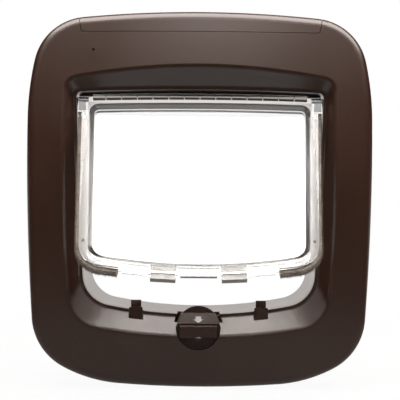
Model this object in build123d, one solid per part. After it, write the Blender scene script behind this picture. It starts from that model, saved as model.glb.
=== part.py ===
import os
from math import atan, cos, degrees, radians, sin, sqrt

from build123d import *

# Lockable cat flap for a house door, seen from the room.
# Millimetres: X to the right, Z up, Y from the room out through the door leaf.
# y = 0 is the room face of the door leaf, and x = z = 0 is the middle of the four door screws.
# Each part is drawn where it sits in the photograph, with the flap swung into the room.

# Frame outline: one half as tangent arcs, from the top middle round to the bottom middle
frame_top = 130.9
frame_radii = [914.0, 38.6, 204.0, 2168.0, 41.6, 98.2]
frame_angles = [5.13, 73.05, 11.51, 3.68, 58.74, 24.16]
frame_draft = 1.6  # how far the side wall leans in over its full depth
wall = 2.5  # moulded wall of both frames
crown_front = -41.1  # foremost point of the crowned face, over the opening
crown_radius = 851.0
loft_front = -50.0  # plane in front of the crown where the side wall's lean is set
edge_round = 7.0
bezel_round = 3.6

# Tunnel liner: half widths and heights at its sharp corners, and the bow of its top and floor
liner_top_half = 86.15
liner_top_z = 74.4
liner_top_bow = 2.0
liner_low_half = 79.86
liner_low_z = -69.8
liner_low_bow = 9.9
liner_top_round = 4.0
liner_low_round = 22.0
liner_wall = 2.2
liner_front = -20.4
part_gap = 0.3  # gap between mouldings that lie side by side
draft_bar_front = -9.4  # bar under the tunnel's top that closes the gap over the flap
draft_bar_thick = 2.4
draft_bar_low = 72.7

# Funnel from the face to the tunnel: a land flush with the liner, a step round it and the bezel at the face
land_long = 4.3
lip_step = 2.3
lip_round = 1.6  # hollow round at the foot of the step
bezel_y = -37.0
bezel_side = 9.2  # how far the bezel stands outside the liner at its top corners
bezel_top_rise = 12.8
bezel_top_bow = 5.6
bezel_low_side = 12.0
bezel_low_drop = 21.4
bezel_low_bow = 3.5
bezel_top_round = 8.0
bezel_low_round = 18.0

# Flap
hinge_y = -16.0
hinge_z = 68.6
flap_open = 34.0  # swing into the room in the photograph, degrees
flap_thick = 7.0
flap_side_gap = 3.4  # clear plastic to tunnel wall
flap_top_gap = 3.3
flap_sill_gap = 7.5
flap_low_bow = 7.0
flap_top_round = 4.0
flap_low_round = 17.0
rim_side = 8.6
rim_top = 11.5
rim_low = 7.7
window_low_bow = 7.3
window_low_round = 9.0
window_thick = 2.3
window_recess = 2.6
window_bevel = 52.0
groove_wide = 4.6
groove_deep = 4.0
top_groove_deep = 2.8
rib_thick = 0.4
rib_tall = 2.8
top_rib_pitch = 11.0
top_rib_side = 6
side_rib_pitch = 9.0
side_rib_count = 11
pile_out = 2.6
pile_top_z = 54.0
pile_low_half = 51.8
slip = 0.1  # clearance of pieces set in a groove or pocket
magnet_half = 8.1
magnet_x = 22.5
magnet_out = 4.6
magnet_in = 5.2
magnet_wall = 1.2  # clear ribs beside each magnet and at the pile's ends
peg_x = 74.5  # blind holes for the pegs that hold the pile
peg_z = -48.4
peg_r = 1.1
sill_magnet_half = 6.4
sill_magnet_shift = 2.8  # further out than the flap's, clear of the lock
sill_magnet_front = -18.9
sill_magnet_back = -10.6
sill_magnet_tall = 3.4
sill_skin = 3.2  # plastic over the sill magnets
pocket_wall = 1.1
ear_wide = 7.5  # from the flap's edge in to the ear's inner face
ear_low = 12.5
pin_r = 2.0
pin_in = 8.0
bush_r = 3.2
bush_long = 5.4
turn_gap = 0.06  # radial clearance of a turning fit
hold_gap = 0.02  # radial clearance of a pressed or keyed fit

# Four-way lock under the sill
knob_z = -87.9
knob_r = 14.9
knob_flat = 10.2
knob_deck_low = 3.0
knob_valley = 2.2
knob_ridge = 1.4
knob_bar_low = -6.6
knob_bar_half = 12.6
knob_hollow = 2.0  # depth of the finger hollow under the bar
knob_rim = 0.9
knob_front = -33.5
knob_back = -30.4
knob_gap = 0.5
boss_r = 9.5
boss_back = -28.0
shaft_r = 4.0
shaft_end = -13.0
cam_front = -27.4
cam_back = -7.4
cam_r = 12.6
cam_lobe_r = 16.5
cam_lobe_thick = 3.2
cam_lobe_arc = 150.0
cam_space = 0.6
cam_screw_r = 1.25
cam_head_r = 2.9

# Latch that keeps the flap from swinging in, with the guides of its legs
tab_x = 43.3
tab_wide = 7.0
tab_step_wide = 9.2
tab_top = -70.0
tab_step_top = -74.7
tab_front = -27.2
tab_mid = -25.2
tab_back = -21.6
latch_slot_gap = 0.5
leg_front = -27.0
leg_back = -22.0
bar_top = -113.0
bar_low = -119.0
latch_lift = 5.0
guide_low = -104.0
guide_high = -98.0
guide_wall = 2.9
slide_gap = 0.35
plunger_x = 70.0
plunger_y = -10.5
plunger_r = 3.0
coil_half = 8.5
coil_low = -107.0
coil_high = -91.0

# Battery bay, board and indicator
cover_half = 82.6
cover_low = 115.4
cover_flare = 0.19  # slope of the cover's end seams
cover_back = -6.0
cover_gap = 0.35
cover_corner = 2.0
cell_r = 7.2
cell_long = 50.2
nub_r = 2.7
nub_long = 1.2
cell_gap = 0.7
cell_y = -15.0
cell_low_z = 103.2
tray_wall = 1.6
contact_room = 5.0
leaf_thick = 0.6
leaf_wide = 6.0
leaf_half = 5.5  # half height of a contact's bowed leaf
led_x = -73.7
led_z = 103.0
led_r = 1.0
board_left = -97.0
board_right = -61.0
board_low = 86.0
board_high = 111.5
board_front = -13.6
board_thick = 1.6
led_tall = 1.8
switch_tall = 1.6
chip_places = [(7.0, 3.0, 10.0, 10.0, 1.6), (21.0, 4.0, 6.0, 4.0, 1.4), (29.0, 4.0, 3.0, 8.0, 3.0)]
button_x = -68.0
button_r = 2.2
button_top = 120.0
button_travel = 1.0

# Outdoor frame and the screws through the door
door_thick = 35.0
rear_deep = 12.0
rear_inset = 2.0
rear_draft = 3.0
sleeve_front = 6.0
sleeve_wall = 2.2
screw_side = 13.85  # door screws stand this far outside the tunnel's top corners
screw_z = 64.0
screw_r = 1.95
screw_head_r = 4.0
screw_head = 2.4
screw_boss_r = 5.2
screw_end = -17.0
small_screw_spots = [(110.0, 38.0), (108.0, -46.0), (-108.0, -46.0), (-110.0, 38.0)]
small_screw_r = 1.25
small_head_r = 2.6
small_boss_r = 3.6
plate = 2.5
aerial_wide = 2.6
aerial_front = -6.4
aerial_back = -3.0
reach = 300.0  # longer than any part, for cuts that run right out


def frame_face(inset):
    """The frame's outline in X and Z, moved in all round by inset."""
    x, z, heading = 0.0, frame_top - inset, 0.0
    right = []
    for radius, sweep in zip(frame_radii, frame_angles):
        r = radius - inset
        cx, cz = x + r * sin(heading), z - r * cos(heading)
        half, full = heading - radians(sweep) / 2, heading - radians(sweep)
        mid = (cx - r * sin(half), cz + r * cos(half))
        end = (cx - r * sin(full), cz + r * cos(full))
        right.append(((x, z), mid, end))
        x, z, heading = end[0], end[1], full
    low_r = -x / sin(heading)
    apex = (0.0, z - low_r * cos(heading) - low_r)

    def flip(point):
        return (-point[0], point[1])

    first = right[0][2]
    edges = [ThreePointArc(flip(first), (0.0, frame_top - inset), first)]
    edges += [ThreePointArc(*arc) for arc in right[1:]]
    edges.append(ThreePointArc((x, z), apex, flip((x, z))))
    edges += [ThreePointArc(flip(c), flip(b), flip(a)) for a, b, c in reversed(right[1:])]
    return make_face(edges)


def throat(top_half, top_z, top_bow, low_half, low_z, low_bow, top_round, low_round):
    """A four-sided outline in X and Z with bowed top and floor and rounded corners."""
    face = make_face(
        [
            ThreePointArc((-top_half, top_z), (0, top_z + top_bow), (top_half, top_z)),
            Line((top_half, top_z), (low_half, low_z)),
            ThreePointArc((low_half, low_z), (0, low_z - low_bow), (-low_half, low_z)),
            Line((-low_half, low_z), (-top_half, top_z)),
        ]
    )
    face = fillet(face.vertices().sort_by(Axis.Y)[-2:], top_round)
    return fillet(face.vertices().sort_by(Axis.Y)[:2], low_round)


def at_y(face, y):
    """A face drawn in X and Z, placed at depth y."""
    return Plane.XZ.offset(-y) * face


def slab(face, front, back):
    """A face drawn in X and Z, made solid from front to back."""
    return extrude(at_y(face, back), amount=back - front)


def block(x0, x1, y0, y1, z0, z1):
    """A box given by its limits."""
    middle = Pos((x0 + x1) / 2, (y0 + y1) / 2, (z0 + z1) / 2)
    return middle * Box(abs(x1 - x0), abs(y1 - y0), abs(z1 - z0))


def rod_y(x, z, r, front, back):
    """A cylinder along Y."""
    return Pos(x, (front + back) / 2, z) * Rot(90, 0, 0) * Cylinder(r, back - front)


def rod_x(y, z, r, x0, x1):
    """A cylinder along X."""
    return Pos((x0 + x1) / 2, y, z) * Rot(0, 90, 0) * Cylinder(r, abs(x1 - x0))


def rod_z(x, y, r, low, high):
    """A cylinder along Z."""
    return Pos(x, y, (low + high) / 2) * Cylinder(r, high - low)


def liner_half(z):
    """Half width between the tunnel's side walls at height z."""
    lean = (liner_top_half - liner_low_half) / (liner_top_z - liner_low_z)
    return liner_low_half + lean * (z - liner_low_z)


def swung(shape):
    """The flap's parts are drawn closed and then swung into the room."""
    hinge = Pos(0, hinge_y, hinge_z)
    return hinge * Rot(-flap_open, 0, 0) * hinge.inverse() * shape


def save(shape, name):
    """One node, one file."""
    shape.label = name
    export_step(shape, f"parts/{name}.step")


# Shared outlines
liner = throat(
    liner_top_half, liner_top_z, liner_top_bow, liner_low_half, liner_low_z, liner_low_bow,
    liner_top_round, liner_low_round,
)
bezel = throat(
    liner_top_half + bezel_side, liner_top_z + bezel_top_rise, bezel_top_bow,
    liner_low_half + bezel_low_side, liner_low_z - bezel_low_drop, bezel_low_bow,
    bezel_top_round, bezel_low_round,
)
liner_outer = offset(liner, liner_wall)
land_back = liner_front - part_gap
lip_y = land_back - land_long
rear_y = door_thick + rear_deep
liner_back = rear_y - wall - part_gap
floor_z = liner_low_z - liner_low_bow
hinge_half = liner_half(hinge_z)
screw_x = liner_top_half + screw_side
tray_low = cell_low_z - cell_r - 0.1

# Indoor fascia: crowned shell with a funnel down to the tunnel
crown = Pos(0, crown_front + crown_radius, 0) * Sphere(crown_radius)
crown_inner = Pos(0, crown_front + crown_radius, 0) * Sphere(crown_radius - wall)


def front_form(inset, ball, corner):
    """The crowned form of the fascia, moved in by inset, with its front edge rounded."""
    back_face = at_y(frame_face(inset), 0)
    front_face = at_y(frame_face(inset + frame_draft), loft_front)
    form = loft([back_face, front_face], ruled=True) & ball
    rim = [e for e in form.edges() if e.center().Y < -10 and e.geom_type != GeomType.LINE]
    front_rim = [e for e in rim if abs(e.position_at(0).Y - e.position_at(1).Y) < 8]
    return fillet(front_rim, corner)


outer = front_form(0, crown, edge_round)
cavity = front_form(wall, crown_inner, edge_round - wall)
lip = offset(liner, lip_step)
funnel = loft([at_y(lip, lip_y), at_y(bezel, bezel_y)], ruled=True)
lip_edges = [e for e in funnel.edges() if abs(e.center().Y - lip_y) < 0.01]
funnel_void = fillet(lip_edges, lip_round) + slab(bezel, loft_front, bezel_y) + slab(liner, lip_y, liner_front)
funnel_skin = loft([at_y(offset(lip, wall), lip_y), at_y(offset(bezel, wall), bezel_y)], ruled=True)
funnel_skin += slab(offset(lip, wall), lip_y, lip_y + wall) + slab(offset(liner, wall), lip_y, land_back)
cup = rod_y(0, knob_z, knob_r + knob_gap + wall, knob_back - 6, boss_back)
shell = outer - cavity
shell += (funnel_skin + slab(offset(bezel, wall), loft_front, bezel_y)) & outer
shell += cup & outer
for x, z in small_screw_spots:
    shell += rod_y(x, z, small_boss_r, crown_front + 9.5, -plate - part_gap)
shell -= funnel_void
bezel_edges = [
    e for e in shell.edges()
    if e.center().Y < -29
    and abs(sqrt(e.center().X ** 2 + (e.center().Y - crown_front - crown_radius) ** 2 + e.center().Z ** 2)
            - crown_radius) < 0.6
    and abs(e.center().X) < liner_top_half + bezel_side + 2
    and liner_low_z - bezel_low_drop - bezel_low_bow - 3 < e.center().Z < liner_top_z + bezel_top_rise + 9
]
shell = fillet(bezel_edges, bezel_round)
shell -= rod_y(0, knob_z, knob_r + knob_gap, loft_front, knob_back + 0.4)
shell += rod_y(0, knob_z, boss_r, knob_back + 0.4, boss_back)
shell -= rod_y(0, knob_z, shaft_r + turn_gap, loft_front, 0)
shell -= rod_y(0, knob_z, cam_lobe_r + cam_space, boss_back, 0)
for side in (-1, 1):
    slot_half = tab_step_wide / 2 + latch_slot_gap
    x = side * tab_x
    shell -= block(x - slot_half, x + slot_half, tab_front - 0.7, 0, bar_top + 12, tab_top)
for x, z in small_screw_spots:
    shell -= rod_y(x, z, small_screw_r + hold_gap, -18, 0)
shell -= rod_y(led_x, led_z, led_r + hold_gap, loft_front, 0)


def cover_face(grow):
    """The cover's outline from the front, with end seams that flare upwards."""
    low, high = cover_low - grow, frame_top + 12
    half = cover_half + grow
    face = make_face(Polyline((-half, low), (half, low), (half + cover_flare * (high - low), high),
                              (-half - cover_flare * (high - low), high), close=True))
    return fillet(face.vertices().sort_by(Axis.Y)[:2], cover_corner)


cover_zone = slab(cover_face(-cover_gap), loft_front, cover_back - cover_gap)
battery_cover = shell & cover_zone
front_fascia = shell - slab(cover_face(0), loft_front, cover_back)
save(front_fascia, "front_fascia")
save(battery_cover, "battery_cover")

# Tunnel liner with the hinge housings, the draft bar and the pockets of the sill magnets
cam_room = rod_y(0, knob_z, cam_lobe_r + cam_space, loft_front, cam_back + 0.6)
tunnel = slab(liner_outer, liner_front, liner_back) - slab(liner, liner_front, liner_back)
draft_bar = slab(liner_outer, draft_bar_front, draft_bar_front + draft_bar_thick)
tunnel += draft_bar & block(-reach, reach, liner_front, 0, draft_bar_low, reach)
for side in (-1, 1):
    near, far = side * (hinge_half + liner_wall / 2), side * (hinge_half + bush_long + 1.0)
    tunnel += block(near, far, liner_front, hinge_y + 5.5, hinge_z - 5.5, hinge_z + 4.5)
    x, half = side * (magnet_x + sill_magnet_shift), sill_magnet_half + slip
    front, back = sill_magnet_front - slip, sill_magnet_back + slip
    low, high = floor_z - sill_skin - sill_magnet_tall, floor_z - sill_skin
    pocket = block(x - half - pocket_wall, x + half + pocket_wall, front - pocket_wall, back + pocket_wall,
                   low, floor_z + liner_low_bow)
    tunnel += pocket - slab(liner, liner_front, liner_back)
    tunnel -= block(x - half, x + half, front, back, low, high)
    tunnel -= rod_x(hinge_y, hinge_z, bush_r + hold_gap, side * (hinge_half - pin_in), side * reach)
tunnel -= cam_room
save(tunnel, "tunnel_liner")

# Indoor back plate with the screw bosses, latch guides, tray brackets and board posts
back_plate = slab(frame_face(wall + part_gap), -plate, 0) - slab(offset(liner_outer, hold_gap), -plate, 0)
for side in (-1, 1):
    for z in (-screw_z, screw_z):
        back_plate += rod_y(side * screw_x, z, screw_boss_r, screw_end - 3, 0)
        back_plate -= rod_y(side * screw_x, z, screw_r + hold_gap, screw_end - 1, 0)
    x = side * tab_x
    half, front, back = tab_wide / 2 + slide_gap, leg_front - slide_gap, leg_back + slide_gap
    guide = block(x - half - guide_wall, x + half + guide_wall, front - guide_wall, -plate,
                  guide_low, guide_high)
    back_plate += guide - block(x - half, x + half, front, back, guide_low, guide_high)
    bracket_top = tray_low - tray_wall
    back_plate += block(side * 30, side * 40, cell_y - 6, -plate, bracket_top - 3, bracket_top)
for x, z in ((board_left + 5, board_low + 3), (board_right - 5, board_low + 3)):
    back_plate += rod_y(x, z, 2.5, board_front + board_thick, -plate)
for x, z in small_screw_spots:
    back_plate -= rod_y(x, z, small_screw_r + 0.3, -plate, 0)
    back_plate -= rod_y(x, z, small_head_r + 0.2, -1.7, 0)
back_plate -= cam_room
save(back_plate, "back_plate")

# Screws
frame_screws = []
for side in (-1, 1):
    for z in (-screw_z, screw_z):
        head_y = door_thick + rear_deep - 5.0
        screw = rod_y(side * screw_x, z, screw_r, screw_end, head_y)
        screw += rod_y(side * screw_x, z, screw_head_r, head_y, head_y + screw_head)
        screw -= block(side * screw_x - 2.2, side * screw_x + 2.2, head_y + 1.2, head_y + 9, z - 0.5, z + 0.5)
        screw -= block(side * screw_x - 0.5, side * screw_x + 0.5, head_y + 1.2, head_y + 9, z - 2.2, z + 2.2)
        frame_screws.append(screw)
save(Compound(children=frame_screws), "frame_screws")
small_screws = []
for x, z in small_screw_spots:
    screw = rod_y(x, z, small_screw_r, -14, -1.6) + rod_y(x, z, small_head_r, -1.6, -0.2)
    small_screws.append(screw)
save(Compound(children=small_screws), "fascia_screws")

# Outdoor frame with the sleeve that slides over the liner
rear_frame = loft(
    [at_y(frame_face(rear_inset), door_thick), at_y(frame_face(rear_inset + rear_draft), rear_y)], ruled=True
)
rear_rim = [e for e in rear_frame.edges() if abs(e.center().Y - rear_y) < 0.01]
rear_frame = fillet(rear_rim, 4.0)
rear_frame -= loft(
    [
        at_y(frame_face(rear_inset + wall), door_thick),
        at_y(frame_face(rear_inset + wall + rear_draft + 1), rear_y - wall),
    ],
    ruled=True,
)
for side in (-1, 1):
    for z in (-screw_z, screw_z):
        rear_frame += rod_y(side * screw_x, z, screw_head_r + 2.2, door_thick, rear_y - 1)
rear_frame += slab(offset(liner_outer, part_gap + sleeve_wall), sleeve_front, rear_y - 1)
rear_frame -= slab(offset(liner_outer, part_gap), sleeve_front - 1, rear_y - wall)
rear_frame -= slab(liner, sleeve_front - 1, rear_y + 1)
for side in (-1, 1):
    for z in (-screw_z, screw_z):
        rear_frame -= rod_y(side * screw_x, z, screw_r + 0.35, door_thick - 1, rear_y + 1)
        rear_frame -= rod_y(side * screw_x, z, screw_head_r + 0.3, rear_y - 5.0, rear_y + 1)
mouth = [e for e in rear_frame.edges() if abs(e.center().Y - rear_y) < 0.01 and abs(e.center().X) < 88
         and abs(e.center().Z) < 82]
rear_frame = fillet(mouth, 1.6)
save(rear_frame, "rear_frame")

# Flap: clear moulded panel with a grooved rim
flap_top = liner_top_z + liner_top_bow - flap_top_gap
flap_floor = floor_z + flap_sill_gap
flap_top_corner = flap_top - 1.7
flap_low_corner = flap_floor + flap_low_bow
flap_face = throat(
    liner_half(flap_top_corner) - flap_side_gap, flap_top_corner, 1.7,
    liner_half(flap_low_corner) - flap_side_gap, flap_low_corner, flap_low_bow,
    flap_top_round, flap_low_round,
)
window_top_corner = flap_top - rim_top - 1.5
window_low_corner = flap_floor + rim_low + window_low_bow
window = throat(
    liner_half(window_top_corner) - flap_side_gap - rim_side, window_top_corner, 1.5,
    liner_half(window_low_corner) - flap_side_gap - rim_side, window_low_corner, window_low_bow,
    3.5, window_low_round,
)
flap_front, flap_back = hinge_y - flap_thick / 2, hinge_y + flap_thick / 2
flap = slab(flap_face, flap_front, flap_back)
ears = slab(offset(flap_face, pile_out), flap_front, flap_back)
ear_zone = []
for side in (-1, 1):
    x0, x1 = side * (hinge_half - flap_side_gap - ear_wide), side * (hinge_half + reach)
    zone = block(x0, x1, flap_front, flap_back, hinge_z - ear_low, hinge_z)
    zone += rod_x(hinge_y, hinge_z, flap_thick / 2, x0, x1)
    ear_zone.append(zone)
    flap -= block(x0, x1, flap_front, flap_back, hinge_z, flap_top + 1)
    flap += ears & zone
bevel = window_recess * sin(radians(window_bevel)) / cos(radians(window_bevel))
flap -= loft(
    [at_y(offset(window, bevel), flap_front), at_y(window, flap_front + window_recess)], ruled=True
)
flap -= slab(window, flap_front + window_recess + window_thick, flap_back)
groove_front, groove_back = hinge_y - groove_wide / 2, hinge_y + groove_wide / 2
mid_line = offset(flap_face, rib_tall - groove_deep)
open_groove = slab(offset(flap_face, 3) - mid_line, groove_front, groove_back)
upper_zone = Pos(0, pile_top_z + reach / 2) * Rectangle(2 * reach, reach)
groove_floor = offset(flap_face, -groove_deep) + (offset(flap_face, -top_groove_deep) & upper_zone)
ribbed_groove = slab(mid_line - groove_floor, groove_front, groove_back)
ribs = []
for k in range(-top_rib_side, top_rib_side + 1):
    x = k * top_rib_pitch
    low, high = flap_top - rim_top, flap_top - 0.5
    ribs.append(block(x - rib_thick / 2, x + rib_thick / 2, groove_front, groove_back, low, high))
for k in range(side_rib_count):
    z = pile_top_z - 4 - k * side_rib_pitch
    for side in (-1, 1):
        x0, x1 = side * pile_low_half, side * reach
        ribs.append(block(x0, x1, groove_front, groove_back, z - rib_thick / 2, z + rib_thick / 2))
top_ribs = ribs[: 2 * top_rib_side + 1]
side_ribs = ribs[2 * top_rib_side + 1:]
low_ribs = []
for x in (magnet_x - magnet_half, magnet_x + magnet_half + magnet_wall, pile_low_half - magnet_wall):
    for side in (-1, 1):
        low_ribs.append(block(side * (x - magnet_wall), side * x, groove_front, groove_back, -reach, peg_z))
open_groove = open_groove - ear_zone - top_ribs - low_ribs
ribbed_groove = ribbed_groove - ear_zone - top_ribs - side_ribs - low_ribs
flap = flap - open_groove - ribbed_groove


def edge_block(side, inset, low):
    """A block in the groove at a magnet's place, tilted to follow the bowed lower edge of the closed flap."""
    slope = flap_low_bow / (liner_half(flap_low_corner) - flap_side_gap) ** 2
    seat = Pos(side * magnet_x, 0, flap_floor + slope * magnet_x**2)
    half, front, back = magnet_half - inset, groove_front + inset, groove_back - inset
    tilt = Rot(0, -side * degrees(atan(2 * slope * magnet_x)), 0)
    return seat * tilt * block(-half, half, front, back, low, magnet_in - inset)


for side in (-1, 1):
    flap -= edge_block(side, 0, -reach)
    flap -= rod_x(hinge_y, hinge_z, pin_r + hold_gap, side * (hinge_half - pin_in), side * reach)
    flap -= rod_y(side * peg_x, peg_z, peg_r, flap_front, groove_front)
save(swung(flap), "flap_panel")
for side, name in ((-1, "left"), (1, "right")):
    hug = slab(offset(flap_face, pile_out) - offset(mid_line, slip), groove_front + slip, groove_back - slip)
    pile = hug & block(side * pile_low_half, side * reach, -reach, reach, -reach, pile_top_z)
    save(swung(pile), f"pile_{name}")
    save(swung(edge_block(side, slip, -magnet_out)), f"flap_magnet_{name}")
    near = side * (hinge_half - pin_in + slip)
    far = side * (hinge_half + bush_long)
    save(swung(rod_x(hinge_y, hinge_z, pin_r, near, far)), f"hinge_pin_{name}")
    bush = rod_x(hinge_y, hinge_z, bush_r, side * (hinge_half + 0.5), far)
    bush -= rod_x(hinge_y, hinge_z, pin_r + turn_gap, 0, side * reach)
    save(bush, f"hinge_bush_{name}")
    x, high = side * (magnet_x + sill_magnet_shift), floor_z - sill_skin
    sill_magnet = block(x - sill_magnet_half, x + sill_magnet_half, sill_magnet_front, sill_magnet_back,
                        high - sill_magnet_tall, high)
    save(sill_magnet, f"sill_magnet_{name}")

# Four-way lock: knob in front of the sill, cam under the flap's edge

def grip_bar(half, corner, *line):
    """A bar across the knob, from its outline in depth and height, with rounded front edges."""
    points = [(knob_front - depth, knob_z + height) for depth, height in line]
    face = make_face(Polyline(*points, close=True))
    face = fillet([v for v in face.vertices() if v.X < knob_front - 0.5], corner)
    return Pos(-half, 0, 0) * extrude(Plane.YZ * face, amount=2 * half)


knob = rod_y(0, knob_z, knob_r, knob_front, knob_back)
deck = grip_bar(knob_r, 0.3, (-1, knob_flat), (1.1, knob_flat), (3.9, knob_deck_low), (3.4, knob_valley),
                (-1, knob_valley))
bar = grip_bar(knob_bar_half, 0.6, (-1, knob_valley), (3.5, knob_valley), (5.0, knob_ridge),
               (4.6, knob_bar_low), (-1, knob_bar_low - 1))
bar_tips = [e for e in bar.edges() if abs(abs(e.center().X) - knob_bar_half) < 0.01]
bar = fillet([e for e in bar_tips if e.center().Y < knob_front - 4], 0.5)
pip = Pos(0, knob_front - 4.4, knob_z + knob_bar_low - 0.4) * scale(Sphere(1), by=(2.8, 1.5, 1.3))
hollow = rod_y(0, knob_z, knob_r - knob_rim, knob_front - 1, knob_front + knob_hollow)
knob -= hollow & block(-reach, reach, -reach, reach, -reach, knob_z + knob_bar_low - 1)
knob += (deck + bar + pip) & rod_y(0, knob_z, knob_r, knob_front - 20, knob_back)
knob += rod_y(0, knob_z, shaft_r, knob_back - 0.5, shaft_end)
knob -= rod_y(0, knob_z, cam_screw_r + hold_gap, shaft_end - 10, shaft_end)
save(knob, "lock_knob")


def lobe(start, front):
    """A raised part of the cam that begins at start degrees, counted from the top to the right."""
    on_axis = (Align.NONE, Align.NONE, Align.CENTER)
    piece = Cylinder(cam_lobe_r, cam_lobe_thick, arc_size=cam_lobe_arc, align=on_axis)
    turn = Rot(0, start + cam_lobe_arc - 90, 0) * Rot(90, 0, 0)
    return Pos(0, front + cam_lobe_thick / 2, knob_z) * turn * piece


cam = rod_y(0, knob_z, cam_r, cam_front, cam_back)
cam += lobe(60, cam_front)
cam += lobe(150, cam_back - cam_lobe_thick)
cam -= rod_y(0, knob_z, shaft_r + hold_gap, cam_front - 1, shaft_end)
cam -= rod_y(0, knob_z, cam_screw_r + 0.15, cam_front, cam_back)
cam -= rod_y(0, knob_z, cam_head_r + 0.4, shaft_end + 1.2, cam_back + 1)
save(cam, "lock_cam")
cam_screw = rod_y(0, knob_z, cam_screw_r, shaft_end - 9, shaft_end + 2)
cam_screw += rod_y(0, knob_z, cam_head_r, shaft_end + 1.2, shaft_end + 3.2)
save(cam_screw, "cam_screw")

# Latch: two tabs on one yoke, lifted by a solenoid
yoke = block(-tab_x - tab_wide / 2, plunger_x + 4, leg_front + 1, leg_back, bar_low, bar_top)
yoke += block(plunger_x - 4, plunger_x + 4, leg_front + 1, plunger_y + 4, bar_low, bar_top - 1)
for side in (-1, 1):
    x = side * tab_x
    yoke += block(x - tab_wide / 2, x + tab_wide / 2, leg_front, leg_back, bar_low, tab_step_top - 4)
    yoke += block(x - tab_wide / 2, x + tab_wide / 2, tab_mid, tab_back, tab_step_top - 8, tab_top)
    half = tab_step_wide / 2
    yoke += block(x - half, x + half, tab_front, tab_mid, tab_step_top - 14, tab_step_top)
save(yoke, "latch_yoke")
save(rod_z(plunger_x, plunger_y, plunger_r, bar_top - 1, coil_high - latch_lift), "latch_plunger")
solenoid = block(plunger_x - coil_half, plunger_x + coil_half, plunger_y - 8, -plate, coil_low, coil_high)
solenoid -= rod_z(plunger_x, plunger_y, plunger_r + slide_gap, coil_low - 1, coil_high + 1)
save(solenoid, "latch_solenoid")

# Batteries in two layers, with their tray and contacts
cell_end = cell_long + cell_gap
cell_high_z = cell_low_z + 2 * cell_r + 0.2
tray_end = cell_end + contact_room
tray = block(-tray_end - tray_wall, tray_end + tray_wall, cell_y - cell_r - 2.6, cell_y + cell_r + 2.6,
             tray_low - tray_wall, cell_high_z - 4)
tray -= block(-tray_end, tray_end, cell_y - cell_r - 1, cell_y + cell_r + 1, tray_low, cell_high_z)
shelf_low = board_high + 3.2
shelf_top = shelf_low + tray_wall
tray += block(button_x - 7, -tray_end, cell_y - 7, cell_y + 7, shelf_low, shelf_top)
tray += block(-tray_end - tray_wall, -tray_end, cell_y - 7, cell_y + 7, cell_high_z - 5, shelf_top)
tray -= rod_z(button_x, board_front + board_thick / 2, button_r + slide_gap, shelf_low - 1, shelf_low + 4)
save(tray, "battery_tray")
for name, side, z in (
    ("low_left", -1, cell_low_z), ("low_right", 1, cell_low_z),
    ("high_left", -1, cell_high_z), ("high_right", 1, cell_high_z),
):
    flip = side if z == cell_low_z else -side
    near, far = side * cell_gap, side * cell_end
    tip, tail = (far, near) if flip > 0 else (near, far)
    inward = 1 if tail > tip else -1
    cell = rod_x(cell_y, z, cell_r, tip + inward * nub_long, tail)
    cell += rod_x(cell_y, z, nub_r, tip, tail)
    save(cell, f"battery_cell_{name}")
contacts = []
for side in (-1, 1):
    x0, x1 = side * (tray_end - leaf_thick), side * tray_end
    contacts.append(block(x0, x1, cell_y - 6, cell_y + 6, tray_low + 1, cell_high_z + 5))
    foot, crest = side * (tray_end - leaf_thick - slip), side * (cell_end + slip)
    inner = crest + side * leaf_thick
    for z in (cell_low_z, cell_high_z):
        low, high = z - leaf_half, z + leaf_half
        bow = make_face(
            [
                ThreePointArc((foot, low), (crest, z), (foot, high)),
                Line((foot, high), (foot, high - leaf_thick)),
                ThreePointArc((foot, high - leaf_thick), (inner, z), (foot, low + leaf_thick)),
                Line((foot, low + leaf_thick), (foot, low)),
            ]
        )
        contacts.append(slab(bow, cell_y - leaf_wide / 2, cell_y + leaf_wide / 2))
save(Compound(children=contacts), "battery_contacts")

# Board with its chips, light guide and button
board = block(board_left, board_right, board_front, board_front + board_thick, board_low, board_high)
save(board, "circuit_board")
board_back, switch_top = board_front + board_thick, board_high + switch_tall
chips = [
    block(led_x - 2, led_x + 2, board_front - led_tall, board_front, led_z - 2, led_z + 2),
    block(button_x - 3, button_x + 3, board_front, board_back, board_high, switch_top),
]
for left, low, wide, high, tall in chip_places:
    x, z = board_left + left, board_low + low
    chips.append(block(x, x + wide, board_front - tall, board_front, z, z + high))
save(Compound(children=chips), "board_chips")
face_y = crown_front + crown_radius - sqrt(crown_radius**2 - led_x**2 - led_z**2)
guide = rod_y(led_x, led_z, led_r, face_y + 0.1, board_front - led_tall - slip)
guide += rod_y(led_x, led_z, led_r + 0.9, face_y + wall + 0.6, board_front - led_tall - slip)
save(guide, "light_guide")
button_low = switch_top + 2 * slip + button_travel
button = rod_z(button_x, board_front + board_thick / 2, button_r, button_low, button_top)
save(button, "learn_button")

# Reader aerial wound round the tunnel
aerial = slab(
    offset(liner_outer, part_gap + aerial_wide) - offset(liner_outer, part_gap), aerial_front, aerial_back
)
save(aerial, "reader_aerial")
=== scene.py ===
import math

import bmesh
import bpy
from mathutils import Matrix, Vector


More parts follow.
